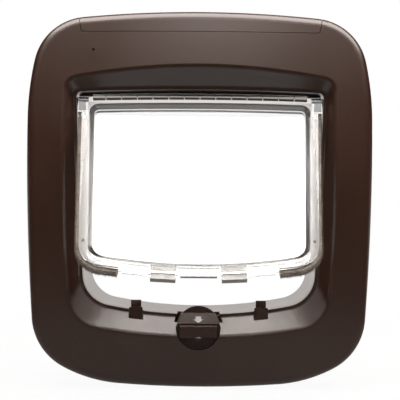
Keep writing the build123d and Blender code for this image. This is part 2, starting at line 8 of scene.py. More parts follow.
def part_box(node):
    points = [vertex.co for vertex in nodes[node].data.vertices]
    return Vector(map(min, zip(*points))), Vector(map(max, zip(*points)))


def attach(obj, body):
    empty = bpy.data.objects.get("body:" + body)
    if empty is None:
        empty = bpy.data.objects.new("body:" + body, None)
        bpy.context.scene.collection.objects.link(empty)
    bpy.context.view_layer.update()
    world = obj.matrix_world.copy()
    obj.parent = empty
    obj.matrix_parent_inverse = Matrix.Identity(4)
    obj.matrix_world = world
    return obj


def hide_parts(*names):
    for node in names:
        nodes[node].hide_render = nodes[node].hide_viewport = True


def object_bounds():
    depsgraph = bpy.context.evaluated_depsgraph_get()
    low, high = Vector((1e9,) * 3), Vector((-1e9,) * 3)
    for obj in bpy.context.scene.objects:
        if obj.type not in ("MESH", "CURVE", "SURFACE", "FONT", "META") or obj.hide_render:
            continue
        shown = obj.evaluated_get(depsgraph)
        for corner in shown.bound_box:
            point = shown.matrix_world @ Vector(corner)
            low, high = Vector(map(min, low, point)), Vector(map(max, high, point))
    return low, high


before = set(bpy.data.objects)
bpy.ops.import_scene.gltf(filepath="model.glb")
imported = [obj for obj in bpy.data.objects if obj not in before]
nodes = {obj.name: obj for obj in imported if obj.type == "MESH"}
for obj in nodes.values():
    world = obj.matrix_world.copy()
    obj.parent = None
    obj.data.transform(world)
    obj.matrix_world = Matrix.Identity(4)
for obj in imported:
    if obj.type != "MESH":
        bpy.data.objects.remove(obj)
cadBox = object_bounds()

white = (1, 1, 1, 1)
black = (0, 0, 0, 1)


class Wire:
    # one output socket; sums on wires add Math nodes to the tree
    def __init__(self, tree, socket=None):
        self.tree = tree
        self.socket = socket

    def feed(self, node, sockets):
        for key, value in sockets.items():
            if isinstance(value, Wire):
                self.tree.links.new(value.socket, node.inputs[key])
            else:
                node.inputs[key].default_value = value

    def node(self, kind, settings=None, sockets=None, out=0):
        made = self.tree.nodes.new(kind)
        for key, value in (settings or {}).items():
            setattr(made, key, value)
        self.feed(made, sockets or {})
        return Wire(self.tree, made.outputs[out])

    def maths(self, operation, first, second):
        return self.node("ShaderNodeMath", {"operation": operation}, {0: first, 1: second})

    def __add__(self, other):
        return self.maths("ADD", self, other)

    def __radd__(self, other):
        return self.maths("ADD", other, self)

    def __sub__(self, other):
        return self.maths("SUBTRACT", self, other)

    def __rsub__(self, other):
        return self.maths("SUBTRACT", other, self)

    def __mul__(self, other):
        return self.maths("MULTIPLY", self, other)

    def __rmul__(self, other):
        return self.maths("MULTIPLY", other, self)

    def most(self, other):
        return self.maths("MAXIMUM", self, other)

    def span(self, low, high, toLow=0.0, toHigh=1.0):
        sockets = {"Value": self, "From Min": low, "From Max": high, "To Min": toLow, "To Max": toHigh}
        return self.node("ShaderNodeMapRange", {"interpolation_type": "SMOOTHSTEP"}, sockets)

    def step(self, edge, fade):
        # 0 below the edge and 1 above it
        return self.span(edge - fade, edge + fade)

    def tint(self, first, second, blend="MIX"):
        # self is the share of the second colour; a Mix node's colours are sockets 6 and 7 and output 2
        settings = {"data_type": "RGBA", "blend_type": blend}
        return self.node("ShaderNodeMix", settings, {"Factor": self, 6: first, 7: second}, out=2)

    def along(self, axis):
        return self.node("ShaderNodeSeparateXYZ", {}, {"Vector": self}, out=axis)

    def vector(self, operation, other=(0, 0, 0), out="Vector"):
        return self.node("ShaderNodeVectorMath", {"operation": operation}, {0: self, 1: other}, out=out)


def linear(red, green, blue):
    # a colour given in 0-255 values, as the shader wants it
    def one(value):
        share = value / 255
        return share / 12.92 if share <= 0.04045 else ((share + 0.055) / 1.055) ** 2.4
    return (one(red), one(green), one(blue), 1.0)


def startMaterial(name):
    material = bpy.data.materials.new(name)
    material.use_nodes = True
    place = Wire(material.node_tree).node("ShaderNodeTexCoord", out="Object")
    return material, place, material.node_tree.nodes["Principled BSDF"]


def noise(place, scale, detail=2.0, rough=0.5):
    sockets = {"Vector": place, "Scale": scale, "Detail": detail, "Roughness": rough}
    return place.node("ShaderNodeTexNoise", {}, sockets)


def streaks(place, stretch, detail=2.0):
    # noise with its own scale along each axis
    sockets = {"Vector": place, "Scale": stretch}
    return noise(place.node("ShaderNodeMapping", {"vector_type": "POINT"}, sockets), 1.0, detail)


def bump(place, height, strength, distance):
    return place.node("ShaderNodeBump", {}, {"Strength": strength, "Distance": distance, "Height": height})


# moulded plastic: faint waves or grain, slow drifts of tone and gloss
mouldLook = {"driftScale": 18, "driftSpan": (0.3, 0.7), "speckScale": 420, "speckSpan": (0.35, 0.65),
             "driftShare": 0.6, "speckShare": 0.4, "driftGloss": 0.03, "speckGloss": 0.02,
             "grainHeight": 0.00006, "index": 1.58, "coatGloss": 0.12}


def mouldedPlastic(name, tone, deep, gloss, grainScale, grainStrength, shine=0.5, polish=0.0):
    look = mouldLook
    material, place, shader = startMaterial(name)
    drift = noise(place, look["driftScale"], detail=3).span(*look["driftSpan"])
    speck = noise(place, look["speckScale"]).span(*look["speckSpan"])
    grain = noise(place, grainScale, detail=3, rough=0.6)
    mottle = drift * look["driftShare"] + speck * look["speckShare"]
    place.feed(shader, {
        "Base Color": mottle.tint(linear(*deep), linear(*tone)),
        "Roughness": gloss + look["driftGloss"] * drift + look["speckGloss"] * speck,
        "Normal": bump(place, grain, grainStrength, look["grainHeight"]),
        "IOR": look["index"],
        "Specular IOR Level": shine,
        "Coat Weight": polish,
        "Coat Roughness": look["coatGloss"],
    })
    return material


frameFinish = {"tone": (48, 28, 18), "deep": (44, 25, 15), "gloss": 0.285,
               "grainScale": 240, "grainStrength": 0.2}
linerFinish = {**frameFinish, "polish": 0.42}
lockFinish = {"tone": (48, 29, 21), "deep": (42, 25, 18), "gloss": 0.285, "shine": 0.35,
              "grainScale": 300, "grainStrength": 0.2}
trayFinish = {"tone": (30, 30, 31), "deep": (24, 24, 25), "gloss": 0.42,
              "grainScale": 1800, "grainStrength": 0.3}
bushFinish = {"tone": (224, 221, 212), "deep": (212, 208, 198), "gloss": 0.38,
              "grainScale": 1800, "grainStrength": 0.2}
chipFinish = {"tone": (34, 34, 36), "deep": (27, 27, 29), "gloss": 0.45,
              "grainScale": 5000, "grainStrength": 0.35}
stripFinish = {"tone": (112, 109, 104), "deep": (94, 91, 87), "gloss": 0.55,
               "grainScale": 2600, "grainStrength": 0.3}
buttonFinish = {"tone": (166, 34, 30), "deep": (150, 27, 24), "gloss": 0.285,
                "grainScale": 2600, "grainStrength": 0.15}


# flap: its hinge and swing at rest, and heights and half widths measured from the hinge
flapSizes = {"hinge": (0, -0.016, 0.0686), "openDegrees": 34, "rimLow": -0.0075, "rimHigh": -0.0062,
             "bevelLow": -0.0095, "bevelHigh": -0.0034, "bevelIn": 0.0710, "bevelOut": 0.0780,
             "footHigh": -0.1285, "fade": 0.0005}
flapOpen = math.radians(flapSizes["openDegrees"])
upFlap = Vector((0, math.sin(flapOpen), math.cos(flapOpen)))
outOfFlap = Vector((0, -math.cos(flapOpen), math.sin(flapOpen)))


# clear flap: polished, with faint flow waves from the moulding, a greyer top rim, duller bevels and foot
flapLook = {"waveStretch": (30, 30, 9), "waveStrength": 0.1, "waveHeight": 0.0004,
            "scuffStretch": (900, 900, 60), "scuffSpan": (0.62, 0.72),
            "tone": (0.985, 0.99, 0.988, 1), "deep": (0.955, 0.965, 0.96, 1),
            "rimGrey": (0.78, 0.76, 0.73, 1), "gloss": 0.012, "scuffGloss": 0.05, "rimGloss": 0.05,
            "bevelGloss": 0.3, "footGloss": 0.1, "index": 1.49}


def clearMoulding():
    look, sizes, fade = flapLook, flapSizes, flapSizes["fade"]
    material, place, shader = startMaterial("clearMoulding")
    wave = streaks(place, look["waveStretch"])
    scuff = streaks(place, look["scuffStretch"]).span(*look["scuffSpan"])
    height = place.vector("SUBTRACT", sizes["hinge"]).vector("DOT_PRODUCT", tuple(upFlap), out="Value")
    sideways = place.along("X")
    aside = sideways.most(0 - sideways)
    within = 1 - aside.step(sizes["bevelOut"], fade)
    rim = height.span(sizes["rimLow"], sizes["rimHigh"])
    topBevel = height.step(sizes["bevelLow"], fade)
    sideBevel = aside.step(sizes["bevelIn"], fade)
    bevel = topBevel.most(sideBevel) * (1 - height.step(sizes["bevelHigh"], fade)) * within
    foot = 1 - height.step(sizes["footHigh"], fade)
    window = wave.tint(look["deep"], look["tone"])
    dulled = look["rimGloss"] * rim + look["bevelGloss"] * bevel + look["footGloss"] * foot
    place.feed(shader, {
        # the top rim's colour is mixed towards a grey, so what is seen through it is greyer
        "Base Color": (rim * within).tint(window, look["rimGrey"]),
        "Roughness": look["gloss"] + look["scuffGloss"] * scuff + dulled,
        "Normal": bump(place, wave, look["waveStrength"], look["waveHeight"]),
        "IOR": look["index"],
        "Transmission Weight": 1.0,
    })
    return material


# brush pile: fibres in tufts of slightly different tone, or the tape that holds them
pileLook = {"tuftScale": 950, "tuftSpan": (0.4, 0.6), "clumpScale": 160, "clumpSpan": (0.35, 0.65),
            "tuftShare": 0.7, "clumpShare": 0.3, "gloss": 0.78, "tuftGloss": 0.1,
            "fuzzScale": 2200, "fuzzStrength": 0.6, "fuzzHeight": 0.0003, "sheen": 0.2}


def brushPile(name, tone, deep):
    look = pileLook
    material, place, shader = startMaterial(name)
    tuft = noise(place, look["tuftScale"]).span(*look["tuftSpan"])
    clump = noise(place, look["clumpScale"]).span(*look["clumpSpan"])
    fuzz = noise(place, look["fuzzScale"], detail=3)
    mottle = tuft * look["tuftShare"] + clump * look["clumpShare"]
    place.feed(shader, {
        "Base Color": mottle.tint(linear(*deep), linear(*tone)),
        "Roughness": look["gloss"] + look["tuftGloss"] * tuft,
        "Normal": bump(place, fuzz, look["fuzzStrength"], look["fuzzHeight"]),
        "Sheen Weight": look["sheen"],
    })
    return material


fibreFinish = {"tone": (128, 119, 110), "deep": (62, 55, 48)}
tapeFinish = {"tone": (104, 90, 78), "deep": (80, 68, 58)}


# sintered and plated magnet: dull grey with pits
magnetLook = {"tone": (158, 158, 156), "deep": (118, 118, 117), "pitScale": 1500, "pitSpan": (0.3, 0.75),
              "cloudScale": 210, "cloudSpan": (0.3, 0.7), "pitShare": 0.6, "cloudShare": 0.4,
              "gloss": 0.46, "pitGloss": 0.14, "metal": 0.55, "cloudMetal": 0.25,
              "pitStrength": 0.25, "pitHeight": 0.00005}


def dullMagnet():
    look = magnetLook
    material, place, shader = startMaterial("dullMagnet")
    pits = noise(place, look["pitScale"], detail=3).span(*look["pitSpan"])
    cloud = noise(place, look["cloudScale"]).span(*look["cloudSpan"])
    mottle = pits * look["pitShare"] + cloud * look["cloudShare"]
    place.feed(shader, {
        "Base Color": mottle.tint(linear(*look["deep"]), linear(*look["tone"])),
        "Roughness": look["gloss"] + look["pitGloss"] * pits,
        "Metallic": look["metal"] + look["cloudMetal"] * cloud,
        "Normal": bump(place, pits, look["pitStrength"], look["pitHeight"]),
    })
    return material


# metal with turning or drawing marks across one axis
metalLook = {"lineSpan": (0.35, 0.65), "cloudScale": 130, "cloudSpan": (0.3, 0.7), "lineShare": 0.5,
             "cloudShare": 0.5, "lineGloss": 0.12, "metal": 0.92, "cloudMetal": 0.08,
             "lineStrength": 0.2, "lineHeight": 0.00004}


def workedMetal(name, tone, deep, gloss, marks):
    look = metalLook
    material, place, shader = startMaterial(name)
    lines = streaks(place, marks, detail=3)
    cloud = noise(place, look["cloudScale"]).span(*look["cloudSpan"])
    mottle = lines.span(*look["lineSpan"]) * look["lineShare"] + cloud * look["cloudShare"]
    place.feed(shader, {
        "Base Color": mottle.tint(linear(*deep), linear(*tone)),
        "Roughness": gloss + look["lineGloss"] * lines,
        "Metallic": look["metal"] + look["cloudMetal"] * cloud,
        "Normal": bump(place, lines, look["lineStrength"], look["lineHeight"]),
    })
    return material


steelFinish = {"tone": (196, 197, 199), "deep": (176, 178, 182), "gloss": 0.29,
               "marks": (900, 4200, 900)}
contactFinish = {"tone": (214, 213, 208), "deep": (196, 195, 190), "gloss": 0.16,
                 "marks": (1500, 1500, 3000)}


# cell sleeve: dark wrap with a pale band at the raised end, whose tip is bare metal
cellLook = {"wrap": (38, 40, 46), "band": (196, 150, 70), "metal": (205, 204, 200),
            "bandEnd": (0.0125, 0.0129), "metalEnd": (0.0011, 0.0013), "wrapMetal": 0.35,
            "scuffStretch": (60, 900, 900), "scuffSpan": (0.55, 0.7), "scuffShare": 0.1,
            "gloss": 0.29, "scuffGloss": 0.1, "scuffStrength": 0.06, "scuffHeight": 0.00005}


def cellSleeve(name, tipX, side):
    look = cellLook
    material, place, shader = startMaterial(name)
    fromTip = (place.along("X") - tipX) * side
    band = fromTip.span(*look["bandEnd"], 1.0, 0.0)
    metalEnd = fromTip.span(*look["metalEnd"], 1.0, 0.0)
    scuff = streaks(place, look["scuffStretch"]).span(*look["scuffSpan"])
    wrap = band.tint(linear(*look["wrap"]), linear(*look["band"]))
    worn = (scuff * look["scuffShare"]).tint(wrap, white, blend="SCREEN")
    place.feed(shader, {
        "Base Color": metalEnd.tint(worn, linear(*look["metal"])),
        "Roughness": look["gloss"] + look["scuffGloss"] * scuff,
        "Metallic": metalEnd.most(look["wrapMetal"]),
        "Normal": bump(place, scuff, look["scuffStrength"], look["scuffHeight"]),
    })
    return material


# board: lacquered mask with a faint net of tracks
boardLook = {"tone": (52, 128, 78), "deep": (22, 82, 46), "netScale": 420, "trackWide": 0.06,
             "meshWide": 1.7, "meshTall": 0.5, "offset": 0.37, "squash": 1.4, "trackShare": 0.8,
             "weaveScale": 900, "gloss": 0.3, "weaveGloss": 0.15, "coat": 0.3,
             "trackStrength": 0.3, "trackHeight": 0.00004}


def boardMask():
    look = boardLook
    material, place, shader = startMaterial("boardMask")
    net = {"Scale": look["netScale"], "Mortar Size": look["trackWide"], "Brick Width": look["meshWide"],
           "Row Height": look["meshTall"], "Color1": black, "Color2": black, "Mortar": white}
    tracks = place.node("ShaderNodeTexBrick", {"offset": look["offset"], "squash": look["squash"]},
                        {"Vector": place, **net}, out="Fac")
    weave = noise(place, look["weaveScale"])
    place.feed(shader, {
        "Base Color": (tracks * look["trackShare"]).tint(linear(*look["deep"]), linear(*look["tone"])),
        "Roughness": look["gloss"] + look["weaveGloss"] * weave,
        "Coat Weight": look["coat"],
        "Normal": bump(place, tracks, look["trackStrength"], look["trackHeight"]),
    })
    return material


# lacquered copper wire laid side by side
windingLook = {"tone": (196, 116, 66), "deep": (120, 62, 34), "wireScale": 520, "waver": 0.6, "detail": 1.0,
               "gloss": 0.28, "wireGloss": 0.1, "metal": 0.85, "wireMetal": 0.1,
               "wireStrength": 0.6, "wireHeight": 0.0002}


def copperWinding():
    look = windingLook
    material, place, shader = startMaterial("copperWinding")
    bands = {"Scale": look["wireScale"], "Distortion": look["waver"], "Detail": look["detail"]}
    wires = place.node("ShaderNodeTexWave", {"wave_type": "BANDS", "bands_direction": "Y"},
                       {"Vector": place, **bands}, out="Fac")
    place.feed(shader, {
        "Base Color": wires.tint(linear(*look["deep"]), linear(*look["tone"])),
        "Roughness": look["gloss"] + look["wireGloss"] * wires,
        "Metallic": look["metal"] + look["wireMetal"] * wires,
        "Normal": bump(place, wires, look["wireStrength"], look["wireHeight"]),
    })
    return material


# painted coil housing, scuffed in places
coilLook = {"tone": (112, 113, 116), "deep": (80, 81, 85), "scuffScale": 90, "scuffSpan": (0.56, 0.7),
            "gloss": 0.36, "scuffGloss": 0.18, "metal": 0.3, "scuffMetal": 0.3,
            "peelScale": 700, "peelStrength": 0.15, "peelHeight": 0.00008}


def coilPaint():
    look = coilLook
    material, place, shader = startMaterial("coilPaint")
    peel = noise(place, look["peelScale"], detail=3)
    scuff = noise(place, look["scuffScale"], detail=4).span(*look["scuffSpan"])
    place.feed(shader, {
        "Base Color": scuff.tint(linear(*look["deep"]), linear(*look["tone"])),
        "Roughness": look["gloss"] + look["scuffGloss"] * scuff,
        "Metallic": look["metal"] + look["scuffMetal"] * scuff,
        "Normal": bump(place, peel, look["peelStrength"], look["peelHeight"]),
    })
    return material


# unlit indicator: smoked rod
guideLook = {"tone": (58, 30, 26), "deep": (26, 16, 14), "depthScale": 1200, "depthSpan": (0.3, 0.7),
             "gloss": 0.14, "depthGloss": 0.06, "coat": 0.5}


def smokedGuide():
    look = guideLook
    material, place, shader = startMaterial("smokedGuide")
    depth = noise(place, look["depthScale"]).span(*look["depthSpan"])
    place.feed(shader, {
        "Base Color": depth.tint(linear(*look["deep"]), linear(*look["tone"])),
        "Roughness": look["gloss"] + look["depthGloss"] * depth,
        "Coat Weight": look["coat"],
    })
    return material


# pad-printed mark: slightly broken ink
inkLook = {"tone": (182, 180, 176), "deep": (152, 149, 144), "inkScale": 2600, "inkSpan": (0.25, 0.5),
           "gloss": 0.5, "inkGloss": 0.1}


def printedInk():
    look = inkLook
    material, place, shader = startMaterial("printedInk")
    ink = noise(place, look["inkScale"], detail=3).span(*look["inkSpan"])
    place.feed(shader, {
        "Base Color": ink.tint(linear(*look["deep"]), linear(*look["tone"])),
        "Roughness": look["gloss"] + look["inkGloss"] * ink,
    })
    return material


def dress(material, *names):
    for name in names:
        mesh = nodes[name].data
        mesh.materials.clear()
        mesh.materials.append(material)


dress(mouldedPlastic("frameBrown", **frameFinish), "front_fascia", "battery_cover", "back_plate",
      "rear_frame")
dress(mouldedPlastic("linerBrown", **linerFinish), "tunnel_liner")
dress(mouldedPlastic("lockBrown", **lockFinish), "lock_knob", "lock_cam", "latch_yoke")
dress(clearMoulding(), "flap_panel")
dress(dullMagnet(), "flap_magnet_left", "flap_magnet_right", "sill_magnet_left", "sill_magnet_right")
dress(workedMetal("zincSteel", **steelFinish), "frame_screws", "fascia_screws", "cam_screw",
      "hinge_pin_left", "hinge_pin_right", "latch_plunger")
dress(workedMetal("nickelLeaf", **contactFinish), "battery_contacts")
dress(coilPaint(), "latch_solenoid")
dress(mouldedPlastic("bushNylon", **bushFinish), "hinge_bush_left", "hinge_bush_right")
dress(mouldedPlastic("trayBlack", **trayFinish), "battery_tray")
dress(mouldedPlastic("chipEpoxy", **chipFinish), "board_chips")
dress(mouldedPlastic("buttonRed", **buttonFinish), "learn_button")
dress(boardMask(), "circuit_board")
dress(copperWinding(), "reader_aerial")
dress(smokedGuide(), "light_guide")
tipsAtRight = {"low_left": False, "low_right": True, "high_left": True, "high_right": False}
for cell, tipAtRight in tipsAtRight.items():
    low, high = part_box("battery_cell_" + cell)
    tip, side = (high.x, -1) if tipAtRight else (low.x, 1)
    dress(cellSleeve("cellSleeve." + cell, tip, side), "battery_cell_" + cell)
print("materials on", len(nodes), "nodes")


def newPiece(name, mesh, material, body, replaced=()):
    piece = bpy.data.objects.new(name, mesh)
    bpy.context.scene.collection.objects.link(piece)
    mesh.materials.clear()
    mesh.materials.append(material)
    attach(piece, body)
    if replaced:
        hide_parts(*replaced)


class Tree:
    # a Geometry Nodes tree with named inputs
    def __init__(self, name, inputs):
        self.group = bpy.data.node_groups.new(name, "GeometryNodeTree")
        face = self.group.interface
        face.new_socket("Geometry", in_out="INPUT", socket_type="NodeSocketGeometry")
        for label, kind in inputs.items():
            face.new_socket(label, in_out="INPUT", socket_type=kind)
        face.new_socket("Geometry", in_out="OUTPUT", socket_type="NodeSocketGeometry")
        self.start = self.group.nodes.new("NodeGroupInput")
        self.end = self.group.nodes.new("NodeGroupOutput")

    def into(self, label):
        return self.start.outputs[label]

    def node(self, kind, settings=None, sockets=None, out=0):
        made = self.group.nodes.new(kind)
        for key, value in (settings or {}).items():
            setattr(made, key, value)
        for key, value in (sockets or {}).items():
            if isinstance(value, bpy.types.NodeSocket):
                self.group.links.new(value, made.inputs[key])
            else:
                made.inputs[key].default_value = value
        return made.outputs[out]

    def maths(self, operation, first, second=0.0):
        return self.node("ShaderNodeMath", {"operation": operation}, {0: first, 1: second})

    def finish(self, geometry, material):
        real = self.node("GeometryNodeRealizeInstances", {}, {0: geometry})
        painted = self.node("GeometryNodeSetMaterial", {}, {"Geometry": real, "Material": material})
        self.group.links.new(painted, self.end.inputs[0])

    def grow(self, source, values):
        # run the tree on an object and hand back a plain mesh
        modifier = source.modifiers.new("grow", "NODES")
        modifier.node_group = self.group
        for item in self.group.interface.items_tree:
            if item.in_out == "INPUT" and item.name in values:
                modifier[item.identifier] = values[item.name]
        graph = bpy.context.evaluated_depsgraph_get()
        mesh = bpy.data.meshes.new_from_object(source.evaluated_get(graph))
        source.modifiers.remove(modifier)
        return mesh


# pile strips: fibres stand on the outer wall of each strip's solid, roots in a woven tape in the groove
pileSizes = {
    "brush": {"Length": 0.0042, "Thick": 0.00016, "Density": 7.0e6, "Lean": 0.16, "Stray": 0.0008,
              "Sag": 0.0017, "Seed": 11},
    "roots": {"Length": 0.0066, "Thick": 0.00016, "Density": 1.1e6, "Lean": 0.1, "Stray": 0.0014,
              "Sag": 0.0, "Seed": 17},
    "strays": {"Length": 0.0062, "Thick": 0.00009, "Density": 6.0e4, "Lean": 0.75, "Stray": 0.0022,
               "Sag": 0.001, "Seed": 29},
    "core": {"Root": 0.0034, "Weave": 0.0024, "Sag": 0.0017},
    "tape": {"Root": 0.0041, "Weave": 0.0007, "Sag": 0.0},
    "wall": {"asideLeast": -0.1, "upMost": 0.3, "facingMost": 0.3, "merge": 1e-6},
    "fibre": {"sides": 3, "steps": 2, "tip": 0.28, "root": 0.5, "shortest": -1.0, "longest": 0.55,
              "seed": 5},
}


class PileTree(Tree):
    # starts from the outer wall of a pile solid, picked by its normals
    def __init__(self, name, lengths, **inputs):
        super().__init__(name, {**dict.fromkeys(("Side", *lengths), "NodeSocketFloat"), **inputs})
        limits = pileSizes["wall"]
        normal = self.node("GeometryNodeInputNormal", out="True Normal")
        aside = self.maths("MULTIPLY", self.dot(normal, Vector((1, 0, 0))), self.into("Side"))
        facing = self.maths("ABSOLUTE", self.dot(normal, outOfFlap))
        outward = self.both(self.maths("GREATER_THAN", aside, limits["asideLeast"]),
                            self.maths("LESS_THAN", self.dot(normal, upFlap), limits["upMost"]))
        outward = self.both(outward, self.maths("LESS_THAN", facing, limits["facingMost"]))
        wall = self.node("GeometryNodeSeparateGeometry", {"domain": "FACE"},
                         {"Geometry": self.merged(self.into("Geometry")), "Selection": outward})
        self.wall = self.node("GeometryNodeCaptureAttribute", {"domain": "POINT"}, {"Geometry": wall})
        carry = self.wall.node
        carry.capture_items.new("VECTOR", "Way")
        self.group.links.new(normal, carry.inputs["Way"])
        self.way = carry.outputs["Way"]  # the wall's normal, smooth from face to face
        self.under = self.maths("MAXIMUM", self.dot(self.way, -upFlap))  # how far the wall faces down

    def merged(self, geometry):
        return self.node("GeometryNodeMergeByDistance", {},
                         {"Geometry": geometry, "Distance": pileSizes["wall"]["merge"]})

    def dot(self, vector, way):
        return self.node("ShaderNodeVectorMath", {"operation": "DOT_PRODUCT"},
                         {0: vector, 1: tuple(way)}, out="Value")

    def both(self, first, second):
        return self.node("FunctionNodeBooleanMath", {"operation": "AND"}, {0: first, 1: second})

    def scaled(self, vector, amount):
        return self.node("ShaderNodeVectorMath", {"operation": "SCALE"}, {0: vector, "Scale": amount})


def fibreTree(material):
    # tapered fibres, tips about the wall and roots in the tape
    fibre = pileSizes["fibre"]
    lengths = ("Length", "Thick", "Density", "Lean", "Stray", "Sag")
    tree = PileTree("pileFibres", lengths, Seed="NodeSocketInt")
    length, thick, seed = tree.into("Length"), tree.into("Thick"), tree.into("Seed")
    points = tree.node("GeometryNodeDistributePointsOnFaces", {},
                       {"Mesh": tree.wall, "Density": tree.into("Density"), "Seed": seed})
    spike = tree.node("GeometryNodeMeshCone", {"fill_type": "NONE"},
                      {"Vertices": fibre["sides"], "Side Segments": fibre["steps"], "Depth": length,
                       "Radius Top": tree.maths("MULTIPLY", thick, fibre["tip"]),
                       "Radius Bottom": tree.maths("MULTIPLY", thick, fibre["root"])})
    down = tree.node("ShaderNodeCombineXYZ", {}, {"Z": tree.maths("MULTIPLY", length, -1.0)})
    hung = tree.node("GeometryNodeTransform", {}, {"Geometry": spike, "Translation": down})
    sway = tree.node("FunctionNodeRandomValue", {"data_type": "FLOAT_VECTOR"},
                     {0: (-1, -1, -1), 1: (1, 1, 1), "Seed": seed})
    way = tree.node("ShaderNodeVectorMath", {"operation": "ADD"},
                    {0: tree.way, 1: tree.scaled(sway, tree.into("Lean"))})
    turned = tree.node("FunctionNodeAlignRotationToVector", {"axis": "Z"}, {"Vector": way})
    planted = tree.node("GeometryNodeInstanceOnPoints", {},
                        {"Points": points, "Instance": hung, "Rotation": turned})
    # a Random Value's plain numbers are sockets 2 and 3 and output 1
    longer = tree.node("FunctionNodeRandomValue", {"data_type": "FLOAT"},
                       {2: fibre["shortest"], 3: fibre["longest"], "Seed": fibre["seed"]}, out=1)
    reach = tree.maths("ADD", tree.maths("MULTIPLY", longer, tree.into("Stray")),
                       tree.maths("MULTIPLY", tree.under, tree.into("Sag")))
    slide = tree.node("ShaderNodeCombineXYZ", {}, {"Z": reach})
    ragged = tree.node("GeometryNodeTranslateInstances", {}, {"Instances": planted, "Translation": slide})
    tree.finish(ragged, material)
    return tree


def tapeTree(material):
    # a layer of the wall moved in to its root, for the tape and the felted core
    tree = PileTree("pileTape", ("Root", "Weave", "Sag"))
    drop = tree.maths("SUBTRACT", tree.maths("MULTIPLY", tree.under, tree.into("Sag")), tree.into("Root"))
    inset = tree.scaled(tree.way, drop)
    tape = tree.node("GeometryNodeSetPosition", {}, {"Geometry": tree.wall, "Offset": inset})
    thick = tree.node("GeometryNodeExtrudeMesh", {"mode": "FACES"},
                      {"Mesh": tape, "Offset Scale": tree.into("Weave"), "Individual": False})
    joined = tree.node("GeometryNodeJoinGeometry")
    for part in (thick, tree.node("GeometryNodeFlipFaces", {}, {"Mesh": tape})):
        tree.group.links.new(part, joined.node.inputs[0])
    tree.finish(tree.merged(joined), material)
    return tree


pileFibre = brushPile("pileFibre", **fibreFinish)
pileTape = brushPile("pileTape", **tapeFinish)
fibres, tape = fibreTree(pileFibre), tapeTree(pileTape)
pileLayers = (("brush", fibres, pileFibre), ("roots", fibres, pileFibre), ("strays", fibres, pileFibre),
              ("core", tape, pileFibre), ("tape", tape, pileTape))
for name, side in (("left", -1.0), ("right", 1.0)):
    solid = "pile_" + name
    source = bpy.data.objects.new("pileSource." + name, nodes[solid].data.copy())
    bpy.context.scene.collection.objects.link(source)
    for kind, tree, material in pileLayers:
        mesh = tree.grow(source, {"Side": side, **pileSizes[kind]})
        newPiece(kind + "_" + name, mesh, material, "flap", [solid] if kind == "brush" else [])
        print(kind, name, len(mesh.polygons), "faces")
    bpy.data.objects.remove(source)


def plainMesh(name, shape):
    mesh = bpy.data.meshes.new(name)
    shape.to_mesh(mesh)
    shape.free()
    return mesh


# small pieces set in the flap are drawn with it closed, then swung open
def swungMesh(name, shape):
    hinge = Vector(flapSizes["hinge"])
    swing = Matrix.Rotation(-flapOpen, 4, "X")
    shape.transform(Matrix.Translation(hinge) @ swing @ Matrix.Translation(-hinge))
    return plainMesh(name, shape)


# pegs at the flap's lower corners
pegSizes = {"x": 0.0745, "z": -0.0484, "radius": 0.00104, "front": -0.0194, "back": -0.0183, "sides": 24}


def peg(side):
    front, back, radius = pegSizes["front"], pegSizes["back"], pegSizes["radius"]
    seat = Matrix.Translation((side * pegSizes["x"], (front + back) / 2, pegSizes["z"]))
    shape = bmesh.new()
    bmesh.ops.create_cone(shape, cap_ends=True, segments=pegSizes["sides"], radius1=radius, radius2=radius,
                          depth=back - front, matrix=seat @ Matrix.Rotation(math.radians(90), 4, "X"))
    return swungMesh("peg", shape)


# thin strip in the flap's lower edge
stripSizes = {"half": 0.0117, "front": -0.0150, "back": -0.01375, "low": -0.0730, "high": -0.0721,
              "round": 0.0002, "roundSteps": 2}


def edgeStrip():
    low = Vector((-stripSizes["half"], stripSizes["front"], stripSizes["low"]))
    high = Vector((stripSizes["half"], stripSizes["back"], stripSizes["high"]))
    block = Matrix.Translation((low + high) / 2) @ Matrix.Diagonal((*(high - low), 1))
    shape = bmesh.new()
    bmesh.ops.create_cube(shape, size=1, matrix=block)
    bmesh.ops.bevel(shape, geom=shape.edges[:], offset=stripSizes["round"],
                    segments=stripSizes["roundSteps"], affect="EDGES", profile=0.5)
    return swungMesh("edge_strip", shape)


newPiece("peg_left", peg(-1), pileTape, "flap")
newPiece("peg_right", peg(1), pileTape, "flap")
newPiece("edge_strip", edgeStrip(), mouldedPlastic("stripRubber", **stripFinish), "flap")
print("pegs and strip placed")


# arrow printed on the knob's sloping deck, its centre a share of the way down
arrowSizes = {"halfWide": 0.0035, "halfStem": 0.0019, "head": 0.0025, "stem": 0.0020, "thick": 0.00006,
              "deckTop": (0, -0.0346, -0.0777), "deckLow": (0, -0.0374, -0.0849), "centre": 0.59}


def knobArrow():
    top, low = Vector(arrowSizes["deckTop"]), Vector(arrowSizes["deckLow"])
    down = (low - top).normalized()
    across = Vector((1, 0, 0))
    lift = across.cross(down)
    if lift.y > 0:
        lift = -lift
    middle = top.lerp(low, arrowSizes["centre"])
    tail, tip = -arrowSizes["stem"], arrowSizes["head"]
    wide, stem = arrowSizes["halfWide"], arrowSizes["halfStem"]
    outline = [(-stem, tail), (stem, tail), (stem, 0), (wide, 0), (0, tip), (-wide, 0), (-stem, 0)]
    shape = bmesh.new()
    corners = [shape.verts.new(middle + across * u + down * v) for u, v in outline]
    face = shape.faces.new(corners)
    face.normal_update()
    if face.normal.dot(lift) < 0:
        face.normal_flip()
    raised = bmesh.ops.extrude_face_region(shape, geom=[face])
    moved = [part for part in raised["geom"] if isinstance(part, bmesh.types.BMVert)]
    bmesh.ops.translate(shape, verts=moved, vec=lift * arrowSizes["thick"])
    bmesh.ops.recalc_face_normals(shape, faces=shape.faces)
    return plainMesh("knob_arrow", shape)


newPiece("knob_arrow", knobArrow(), printedInk(), "knob")
print("knob arrow placed")


